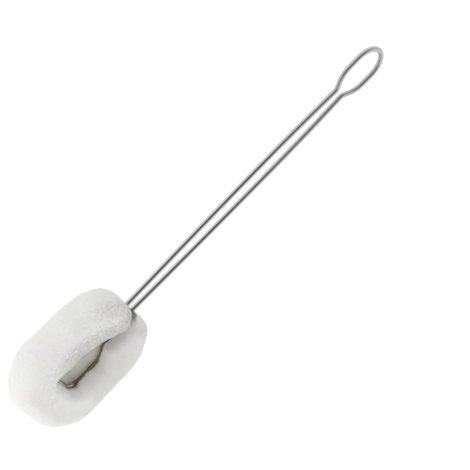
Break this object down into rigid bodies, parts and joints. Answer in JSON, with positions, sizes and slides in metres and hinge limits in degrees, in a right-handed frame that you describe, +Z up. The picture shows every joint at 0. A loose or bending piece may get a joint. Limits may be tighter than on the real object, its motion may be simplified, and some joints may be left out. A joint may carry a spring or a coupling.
{
  "type": "bottle brush",
  "caption": "Bottle brush with a soft foam head bent round a ring of steel wire; the wire runs on as a long handle and ends in a hanging eye.",
  "frame": {"origin": "on the surface it lies on, under the middle of its outer box", "axes": "+X along the handle from the hanging eye to the foam head, +Z up, +Y across the ring"},
  "size_m": [0.3194, 0.096, 0.0272],
  "materials": {
    "wire": "polished",
    "foam": "matte"
  },
  "bodies": {
    "root": {"handle_wire": "wire", "foam_ring": "foam"}
  },
  "joints": []
}
